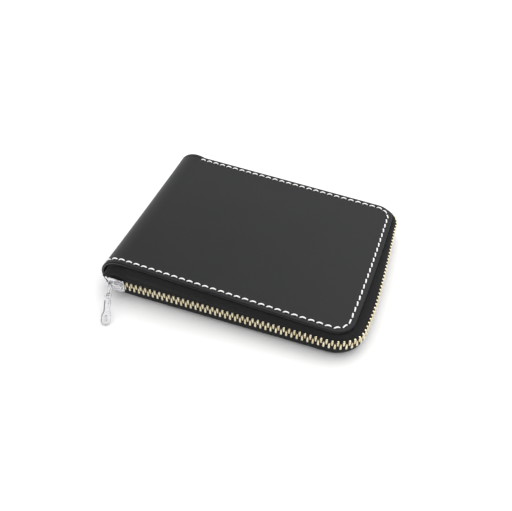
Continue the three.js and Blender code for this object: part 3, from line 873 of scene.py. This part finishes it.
def sweepStrip(name, run, sectionAt, thick, material):
    # a thin closed strip swept along the run, with its own map in millimetres along and across
    sections = [sectionAt(place) for place in run]
    count = len(sections[0])
    points, uvs = [], []
    travelled, last = 0.0, None
    for place, section in zip(run, sections):
        spot = outFrom(place, place[4], 0)
        travelled += (spot - last).length if last else 0.0
        last = spot
        widths = [0.0]
        for a, b in zip(section, section[1:]):
            widths.append(widths[-1] + math.hypot(b[0] - a[0], b[1] - a[1]))
        for side in (1, -1):
            for i in range(count) if side == 1 else range(count - 1, -1, -1):
                before, after = section[max(i - 1, 0)], section[min(i + 1, count - 1)]
                length = math.hypot(after[0] - before[0], after[1] - before[1]) or 1.0
                half = side * thick / 2
                out = section[i][0] + half * (after[1] - before[1]) / length
                z = section[i][1] - half * (after[0] - before[0]) / length
                points.append(outFrom(place, out, z))
                uvs.append((travelled, widths[i]))
    size = 2 * count
    faces = []
    for row in range(len(run) - 1):
        for i in range(size):
            j = (i + 1) % size
            faces.append((row * size + i, row * size + j, (row + 1) * size + j, (row + 1) * size + i))
    faces += [tuple(range(size))[::-1], tuple((len(run) - 1) * size + i for i in range(size))]
    return faceOutwards(makeObject(name, points, faces, [material], uvs=uvs))


def makeTapes(isUpper):
    side = "upper" if isUpper else "lower"
    reach = wallet["foldReach"] - tapeDepth
    cordZ = chainHeight + (mainZip["halfWidth"] - 0.75) * (1 if isUpper else -1)
    lastAngle = math.radians(78)
    if not isUpper:
        lastAngle = math.acos((foldRise - cordZ + 1.2) / (foldRise - tapeDepth))
    endX = foldX - reach * math.sin(lastAngle)
    strip = sweepStrip(side + "ZipTape", edgeRun(endX, endX), lambda place: tapeSection(isUpper, place),
                       mainZip["tapeThick"], zipTape)
    cordStart = closedEndX if isUpper else teethStartX
    section = ellipse(mainZip["cordRadius"], mainZip["cordRadius"], 8)
    cord = ringSolid(side + "TapeCord", [[outFrom(place, place[4] + out, cordZ + z) for out, z in section]
                                         for place in edgeRun(cordStart, closedEndX)], zipTape)
    if isUpper:
        blendFold(strip, isUpper)
    else:
        rideHalf(strip, isUpper)  # so that it stays in the slider when the spine lies flat
    rideHalf(cord, isUpper)
    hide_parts(side + "_zip_tape")


def toothPattern(name, direction):
    # a clenched tooth: a squared foot over the cord and a rounded head that reaches past the middle
    levels = [(-2.42, 0.8, 1.35), (-2.3, 1.0, 1.75), (-2.0, 1.1, 1.95), (-1.1, 1.1, 1.95),
              (-0.6, 0.92, 1.75), (0.1, 0.9, 1.7), (0.5, 0.78, 1.5), (0.72, 0.45, 1.05)]
    corners = ((-1, -0.6), (-0.7, -1), (0.7, -1), (1, -0.6), (1, 0.6), (0.7, 1), (-0.7, 1), (-1, 0.6))
    rings = [[(x * wide / 2, direction * z, y * thick / 2) for x, y in corners] for z, wide, thick in levels]
    return ringSolid(name, rings, goldTeeth)


def makeTeeth(isUpper):
    side = "upper" if isUpper else "lower"
    pitch = mainZip["pitch"]
    run = edgeRun(teethStartX, closedEndX, 0.6)
    line = [outFrom(place, place[4], chainHeight) for place in run]
    outward = [Vector((place[2], place[3], 0)) for place in run]
    hidden = math.ceil((closedEndX + 0.4 - teethStartX) / pitch)
    start = hidden * pitch if isUpper else pitch / 2
    count = int((lineLength(line) - start - pitch / 2) / pitch) + 1
    points, normals = cutLine(line, outward, start, (count - 1) * pitch)
    pattern = toothPattern(side + "Tooth", -1 if isUpper else 1)
    teeth = repeatAlong(side + "TeethRow", points, normals, pattern, goldTeeth, count,
                        mainZip["unevenness"], mainZip["seed"])
    bpy.data.objects.remove(pattern)
    rideHalf(teeth, isUpper)
    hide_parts(side + "_teeth")


def makeStops():
    for node, body in (("lower_top_stop", "lower_half"), ("upper_top_stop", "upper_half"),
                       ("bottom_stop", "lower_half")):
        low, high = nodeBox(node)
        stop = roundedBlock(node.replace("_stop", "Clamp"), low, high, 0.28, brightNickel)
        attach(stop, body)
        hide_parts(node)


for isUpper in (True, False):
    makeTapes(isUpper)
    makeTeeth(isUpper)
makeStops()
print("main zip made")


# the slider, its bail, the link and the pull

slider = {
    "plate": 0.75,           # thickness of each shield plate
    "bevel": 0.26,
    "lipOut": 1.1,           # middle of the flange that holds the tape's edge, out from the chain
    "lipSize": (0.38, 0.36),
    "bailWide": 0.8,         # half the bail's width where it meets the plate
    "linkWire": 0.34,
    "linkNearRound": 1.0,    # the link's rounding at the bail and at the pull
    "linkFarRound": 1.15,
    "linkPlay": 0.12,
}
backLow, backHigh = nodeBox("slider_back_plate")
sliderMiddleX = (backLow.x + backHigh.x) / 2
sliderHalf = (backHigh.x - backLow.x) / 2
sliderTall = (backHigh.z - backLow.z) / 2
chainY = -halfDepth - mainZip["chainOffset"]
plateFar = backHigh.y - chainY                          # outer face of either plate from the chain


def uprightPlace(x, y, z):
    # a drawing's x runs along the zip and its y runs up
    return Matrix(((1, 0, 0, x), (0, 0, -1, y), (0, 1, 0, z), (0, 0, 0, 1)))


def shieldOutline():
    half, tall = sliderHalf, sliderTall
    corners = [(-half, -tall * 0.62), (-half * 0.72, -tall), (0.1 * half, -tall), (half, -tall * 0.86),
               (half, tall * 0.86), (0.1 * half, tall), (-half * 0.72, tall), (-half, tall * 0.62),
               (-half * 0.8, tall * 0.3), (-half * 0.93, 0), (-half * 0.8, -tall * 0.3)]
    return roundCorners(corners, 1.0)


def makeSlider():
    plates = []
    for name, way in (("sliderFrontPlate", -1), ("sliderBackPlate", 1)):
        middleY = chainY + way * (plateFar - slider["plate"] / 2)
        plate = outlinePlate(name, [shieldOutline()], slider["plate"], slider["bevel"],
                             uprightPlace(sliderMiddleX, middleY, chainHeight), brightNickel)
        plates.append(plate)
        for up in (-1, 1):
            path = [(sliderMiddleX + sliderHalf * x, chainY + way * slider["lipOut"],
                     chainHeight + up * (sliderTall * tall - 0.4))
                    for x, tall in ((-0.74, 1), (0, 1), (0.96, 0.88))]
            lip = roundBar(name + ("Top" if up > 0 else "Low") + "Lip", path, slider["lipSize"], brightNickel,
                           (0, 1, 0))
            plates.append(lip)
    faceY = chainY - plateFar
    legs = sliderHalf - 1.0
    axisY = linkAxis.y
    path, sizes = [], []
    corner = min(1.3, faceY - axisY)
    for x, y, wide in ((-legs, faceY + 0.3, slider["bailWide"]), (-legs, faceY - 0.5, slider["bailWide"])):
        path.append((sliderMiddleX + x, y, chainHeight))
        sizes.append((wide, 0.42))
    for degrees in range(0, 91, 15):
        turn = math.radians(degrees)
        path.append((sliderMiddleX - legs + corner * (1 - math.cos(turn)),
                     axisY + corner * (1 - math.sin(turn)), chainHeight))
        sizes.append((0.4 + (slider["bailWide"] - 0.4) * (1 - degrees / 90), 0.38))
    mirrored = [(2 * sliderMiddleX - x, y, z) for x, y, z in reversed(path)]
    bail = roundBar("sliderBail", path + mirrored, sizes + sizes[::-1], brightNickel, (0, 0, 1))
    ridge = roundBar("sliderRidge", [(sliderMiddleX - legs, faceY + 0.05, chainHeight),
                                     (sliderMiddleX + legs, faceY + 0.05, chainHeight)],
                     (1.25, 0.28), brightNickel, (0, 0, 1))
    for piece in plates + [bail, ridge]:
        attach(piece, "zip_slider")
    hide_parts("slider_body")
    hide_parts("slider_back_plate")


def pullPlace():
    # the link points along its own x, down towards the table; the pull turns about its own z
    down = (pullAxis - linkAxis).normalized()
    across = Vector((1, 0, 0))
    up = down.cross(across).normalized()
    place = Matrix((down, across, up)).transposed().to_4x4()
    place.translation = linkAxis
    return place


pullShape = {
    "turn": 20.0,            # degrees that the pull points away from the spine
    "length": 14.0,
    "thick": 1.15,
    "neck": 2.9,
    "foot": 4.4,
    "footLength": 5.4,
    "eye": 1.6,
    "eyeHole": 0.78,
    "bevel": 0.28,
}


def makeLink():
    place = pullPlace()
    far, near = slider["linkFarRound"], slider["linkNearRound"]
    farX = (pullAxis - linkAxis).length - far
    path = []
    for first, radius, middle in ((-90, far, farX), (90, near, slider["linkPlay"])):
        for degrees in range(first, first + 181, 15):
            x, z = turned(radius, 0, degrees)
            path.append(place @ Vector((middle + x, 0, z)))
    wire = slider["linkWire"]
    link = roundBar("pullLinkWire", path, (wire, wire), brightNickel, (1, 0, 0), True, 10, 2.0)
    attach(link, "pull_link")
    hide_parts("pull_link")


def makePull():
    shape = pullShape
    neck, foot, length = shape["neck"] / 2, shape["foot"] / 2, shape["length"]
    footStart = length - shape["footLength"]
    first = math.asin(neck / shape["eye"])
    outline = []
    for share in spread(0, 1, 17):
        outline.append(turned(shape["eye"], 0, math.degrees(first + (2 * math.pi - 2 * first) * share)))
    blade = roundCorners([(shape["eye"], -neck), (footStart - foot / 2, -neck), (footStart + 0.2, -foot),
                          (length - foot / 2, -foot), (length, -foot / 2), (length, foot / 2),
                          (length - foot / 2, foot), (footStart + 0.2, foot), (footStart - foot / 2, neck),
                          (shape["eye"], neck)], 1.1)
    slot = roundCorners([(footStart + 1.3, -0.55), (footStart + 1.3, 0.55), (length - 1.3, 0.55),
                         (length - 1.3, -0.55)], 0.5)
    place = pullPlace() @ Matrix.Translation(((pullAxis - linkAxis).length, 0, 0))
    place = place @ Matrix.Rotation(math.radians(shape["turn"]), 4, "Z")
    eyeHole = ellipse(shape["eyeHole"], shape["eyeHole"], 24)
    pull = outlinePlate("pullPlate", [outline + blade, eyeHole, slot], shape["thick"], shape["bevel"], place,
                        brightNickel)
    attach(pull, "pull_bar")
    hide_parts("pull_bar")


makeSlider()
makeLink()
makePull()
print("slider and pull made")


# card pockets and slip pockets

pocketCut = {
    "edgeRound": 0.22,
    "creaseInset": 2.0,      # a pressed line beside the open edge
    "creaseDepth": 0.12,
    "creaseWidth": 0.18,
    "stitchInset": 2.0,
    "stitchPitch": 3.2,
    "thread": (0.24, 2.7, 9, 0.34),  # radius, length, slant in degrees, arch
    "unevenness": 0.03,
    "seed": 11,
    "coinInset": 1.8,        # seams of the coin pocket, in from its sides
}
panelSteps = [0, 0.05, 0.12, 0.22, 0.4, 0.8, 1.3, 1.7, 1.85, 2.0, 2.15, 2.3, 2.8, 4.0]


def panelBox(node, isUpper):
    # the node's extent as it would lie in a level half, with depth in place of height
    if not isUpper:
        low, high = nodeBox(node)
        return low, high
    back = Matrix.Rotation(-taperAngle, 4, "Y")
    vertices = frame["nodes"][node].data.vertices
    points = [upperAxis + back @ (vertex.co / mm - upperAxis) for vertex in vertices]
    low, high = (Vector([pick(point[i] for point in points) for i in range(3)]) for pick in (min, max))
    return Vector((low.x, low.y, spineHeight - high.z)), Vector((high.x, high.y, spineHeight - low.z))


def panelLines(low, high, count):
    steps = [step for step in panelSteps if step < (high - low) / 2]
    middle = spread(low + steps[-1] + 1, high - steps[-1] - 1, count)
    return [low + step for step in steps] + middle + [high - step for step in reversed(steps)]


def makePanel(name, isUpper, low, high, material, openEdge=None):
    # a thin sheet with rounded edges; openEdge names the y edge that has a pressed line beside it
    xs, ys = panelLines(low.x, high.x, 12), panelLines(low.y, high.y, 12)
    near, far = [], []
    for y in ys:
        for x in xs:
            distance = min(x - low.x, high.x - x, y - low.y, high.y - y)
            drop = roundedDrop(distance, pocketCut["edgeRound"])
            fromOpen = {"high": high.y - y, "low": y - low.y}.get(openEdge, 99)
            across = (fromOpen - pocketCut["creaseInset"]) / pocketCut["creaseWidth"]
            crease = pocketCut["creaseDepth"] * math.exp(-across ** 2)
            near.append(levelPoint(isUpper, x, y, low.z + drop))
            far.append(levelPoint(isUpper, x, y, high.z - drop - crease))
    return closedSheet(name, near, far, len(xs), [material])


def levelPoint(isUpper, x, y, depth):
    point = Vector((x, y, spineHeight - depth if isUpper else depth))
    return slopeUpper(point) if isUpper else point


def seamStitches(name, isUpper, places, depth, body):
    # black stitches along a straight or bent line on the inner face of a panel
    points, outward = [], []
    for (x0, y0), (x1, y1) in zip(places, places[1:]):
        for share in spread(0, 1, 20)[0 if not points else 1:]:
            x, y = x0 + (x1 - x0) * share, y0 + (y1 - y0) * share
            points.append(levelPoint(isUpper, x, y, depth - 0.1))
            outward.append(levelPoint(isUpper, x, y, depth + 1) - levelPoint(isUpper, x, y, depth))
    thread = stitchPattern(name + "Thread", *pocketCut["thread"], blackThread)
    count = round(lineLength(points) / pocketCut["stitchPitch"]) + 1
    seam = repeatAlong(name, points, outward, thread, blackThread, count, pocketCut["unevenness"],
                       pocketCut["seed"])
    bpy.data.objects.remove(thread)
    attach(seam, body)


def makePockets():
    inset = pocketCut["stitchInset"]
    covered = None
    for node, isUpper in (("card_pocket_4", True), ("card_pocket_3", True), ("card_pocket_2", True),
                          ("card_pocket_1", True), ("upper_slip_pocket", True), ("lower_slip_pocket", False)):
        low, high = panelBox(node, isUpper)
        body = "upper_half" if isUpper else "lower_half"
        name = "".join(word.capitalize() for word in node.split("_"))
        panel = makePanel(name[0].lower() + name[1:] + "Sheet", isUpper, low, high, pocketLeather, "high")
        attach(panel, body)
        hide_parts(node)
        left, right, top = low.x + inset, high.x - inset, high.y - 0.8
        if node == "card_pocket_4":
            seamStitches("cardPocketSeam", True, [(left, top), (left, low.y + inset), (right, low.y + inset),
                                                  (right, top)], high.z, body)
        elif isUpper:
            for x, end in ((left, "Spine"), (right, "Far")):
                seamStitches(name[0].lower() + name[1:] + "Seam" + end, True,
                             [(x, covered + 1.2), (x, top)], high.z, body)
        covered = high.y


makePockets()
print("pockets made")


# coin pocket with its small nylon zip

coinZip = {
    "coilPitch": 1.25,
    "coilWide": 2.1,         # across one side of the coil
    "coilTall": 0.95,
    "stopBevel": 0.2,
    "capThick": 0.6,
    # along one turn: share of its width, shift along the zip, height and wire radius
    "turn": ((-0.25, 0, 0.1, 0.2), (-0.05, 0, 0.3, 0.3), (0.3, 0.04, 0.4, 0.3), (0.7, 0.1, 0.42, 0.28),
             (0.95, 0.2, 0.2, 0.26), (1.0, 0.28, -0.05, 0.22)),
}


def makeCoinPocket():
    front, back = nodeBox("coin_pocket_front"), nodeBox("coin_pocket_back")
    base = nodeBox("coin_pocket_lining")
    pieces = [
        (makePanel("coinPocketFrontPanel", False, front[0], front[1], pocketLeather, "high"),
         "coin_pocket_front", "pocket_leather"),
        (makePanel("coinPocketBackPanel", False, back[0], back[1], pocketLeather, "low"),
         "coin_pocket_back", "pocket_leather"),
        (makePanel("coinPocketLiningSheet", False, base[0], base[1], lining),
         "coin_pocket_lining", "lining_cloth"),
    ]
    for side in ("front", "back"):
        tape = nodeBox("coin_tape_" + side)
        run = [(x, 0.0, 0.0, 1.0, 0.0) for x in spread(tape[0].x, tape[1].x, 50)]
        middle = (tape[0].z + tape[1].z) / 2
        section = [(y, middle) for y in spread(tape[0].y, tape[1].y, 7)]
        strip = sweepStrip("coinTape" + side.capitalize(), run, lambda place: section,
                           tape[1].z - tape[0].z, zipTape)
        pieces.append((strip, "coin_tape_" + side, "zip_tape"))
    for piece, node, slot in pieces:
        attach(piece, "lower_half")
        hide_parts(node)
    inset = pocketCut["coinInset"]
    left, right = front[0].x + inset, front[1].x - inset
    panels = (("Front", front[1].y, front[0].y, -1), ("Back", back[0].y, back[1].y, 1))
    for side, slotY, outerY, way in panels:
        beside = slotY + way * 1.2
        seamStitches("coinSlot" + side + "Seam", False, [(left, beside), (right, beside)], front[1].z,
                     "lower_half")
    for side, slotY, outerY, way in panels:
        start, outer = slotY + way * 3, outerY - way * inset
        seamStitches("coinPocket" + side + "Seam", False,
                     [(left, start), (left, outer), (right, outer), (right, start)], front[1].z, "lower_half")


def makeCoinZip():
    low, high = nodeBox("coin_coil")
    middleY, middleZ = (low.y + high.y) / 2, (low.z + high.z) / 2
    pitch = coinZip["coilPitch"]
    for side, way, shift in (("Front", -1, 0), ("Back", 1, 0.5)):
        # one turn of the coil: a flat loop that hooks over the middle line
        wide, tall = coinZip["coilWide"], coinZip["coilTall"]
        rings = [[(x + across, way * (y * wide - 0.05), z * tall * 0.6 + up)
                  for across, up in ellipse(fat, fat, 6)] for y, x, z, fat in coinZip["turn"]]
        turn = ringSolid("coilTurn" + side, rings, coilNylon)
        start, end = low.x + 0.6 + shift * pitch, high.x - 0.6
        count = int((end - start) / pitch) + 1
        line = [Vector((x, middleY, middleZ - 0.1)) for x in spread(start, start + (count - 1) * pitch, 30)]
        coil = repeatAlong("coinCoil" + side, line, [Vector((0, 0, 1))] * len(line), turn, coilNylon, count)
        bpy.data.objects.remove(turn)
        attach(coil, "lower_half")
        if side == "Front":
            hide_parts("coin_coil")
    for node in ("coin_stop_spine_side", "coin_stop_far_side"):
        low, high = nodeBox(node)
        stop = roundedBlock("coin" + ("SpineStop" if "spine" in node else "FarStop"), low, high,
                            coinZip["stopBevel"], brightNickel)
        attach(stop, "lower_half")
        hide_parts(node)


def makeCoinSlider():
    low, high = nodeBox("coin_slider")
    middle = (low + high) / 2
    half, wide = (high.x - low.x) / 2, (high.y - low.y) / 2
    outline = roundCorners([(-half, -wide * 0.7), (-half * 0.4, -wide), (half, -wide * 0.8),
                            (half, wide * 0.8), (-half * 0.4, wide), (-half, wide * 0.7)], 1.2)
    capThick = coinZip["capThick"]
    cap = outlinePlate("coinSliderCap", [outline], capThick, 0.24,
                       Matrix.Translation((middle.x, middle.y, high.z - capThick / 2)), brightNickel)
    pieces = [cap]
    for way in (-1, 1):
        path = [(middle.x - half * 0.75, middle.y + way * (wide - 0.32), low.z + 0.45),
                (middle.x + half * 0.9, middle.y + way * (wide * 0.88 - 0.32), low.z + 0.45)]
        pieces.append(roundBar("coinSliderLip" + ("Back" if way > 0 else "Front"), path, (0.3, 0.42),
                               brightNickel, (0, 1, 0)))
    for piece in pieces:
        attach(piece, "coin_slider")
    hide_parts("coin_slider")
    low, high = nodeBox("coin_pull")
    middle = (low + high) / 2
    half, length = (high.x - low.x) / 2, high.y - low.y
    outline = roundCorners([(-half * 0.6, 0), (-half, -length * 0.2), (-half, -length + half),
                            (-half * 0.5, -length), (half * 0.5, -length), (half, -length + half),
                            (half, -length * 0.2), (half * 0.6, 0)], 1.0)
    slot = roundCorners([(-half * 0.4, -length * 0.72), (half * 0.4, -length * 0.72),
                         (half * 0.4, -length * 0.88), (-half * 0.4, -length * 0.88)], 0.5)
    tag = outlinePlate("coinPullTag", [outline, slot], high.z - low.z, 0.14,
                       Matrix.Translation((middle.x, high.y, middle.z)), brightNickel)
    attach(tag, "coin_slider")
    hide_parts("coin_pull")


makeCoinPocket()
makeCoinZip()
makeCoinSlider()
print("coin pocket made")


# floor, light and camera

studio = {
    "cameraAzimuth": 21.1,
    "cameraElevation": 42.04,
    "cameraDistance": 340.0,
    "aim": (0.15, 0.75, 0.35),
    "lens": 47.44,
    "roomLight": 1.07,
    "overheadPower": 1.5,
    "overheadPlace": (160, 260, 620),
    "overheadSize": 620,
    "floorReach": 3000,
    "flags": [  # corners of black cards that only gloss shows: before, to the left and over the wallet
        [(-900, -420, 0), (600, -420, 0), (600, -420, 330), (-900, -420, 330)],
        [(-420, -420, 60), (-420, -60, 60), (-420, -60, 260), (-420, -420, 260)],
        [(-260, -120, 520), (-60, -120, 520), (-60, 40, 520), (-260, 40, 520)]],
}


def makeStudio():
    scene = bpy.context.scene
    scene.view_settings.view_transform = "Standard"
    scene.view_settings.look = "None"
    world = bpy.data.worlds.new("paleRoom")
    world.use_nodes = True
    room = world.node_tree.nodes["Background"].inputs
    room[0].default_value, room[1].default_value = hexColour("#ffffff"), studio["roomLight"]
    scene.world = world
    edge = studio["floorReach"]
    floor = makeObject("paleTable", [(-edge, -edge, 0), (edge, -edge, 0), (edge, edge, 0), (-edge, edge, 0)],
                       [(0, 1, 2, 3)], [moulded("paleLacqueredTable", "#fbfbfb", "#fefefe", 0.6, 60)])
    velvet = moulded("blackFlagVelvet", "#050505", "#0a0a0a", 0.95, 80)
    for index, corners in enumerate(studio["flags"]):
        flag = makeObject("blackFlag" + str(index + 1), corners, [(0, 1, 2, 3)], [velvet])
        flag.visible_camera = flag.visible_diffuse = flag.visible_shadow = False
    place = Vector(studio["overheadPlace"])
    lamp = bpy.data.lights.new("overheadPanel", "AREA")
    lamp.size = studio["overheadSize"] * mm
    lamp.energy = studio["overheadPower"]
    lampObject = bpy.data.objects.new("overheadPanel", lamp)
    lampObject.location = place * mm
    lampObject.rotation_euler = (-place).to_track_quat("-Z", "Y").to_euler()
    scene.collection.objects.link(lampObject)
    camera = bpy.data.cameras.new("camera")
    camera.lens = studio["lens"]
    camera.sensor_width = 36
    azimuth = math.radians(studio["cameraAzimuth"])
    elevation = math.radians(studio["cameraElevation"])
    back = Vector((math.sin(azimuth) * math.cos(elevation), -math.cos(azimuth) * math.cos(elevation),
                   math.sin(elevation)))
    cameraObject = bpy.data.objects.new("camera", camera)
    cameraObject.location = (Vector(studio["aim"]) + back * studio["cameraDistance"]) * mm
    cameraObject.rotation_euler = (math.pi / 2 - elevation, 0, azimuth)
    scene.collection.objects.link(cameraObject)
    scene.camera = cameraObject


makeStudio()
print("studio made")
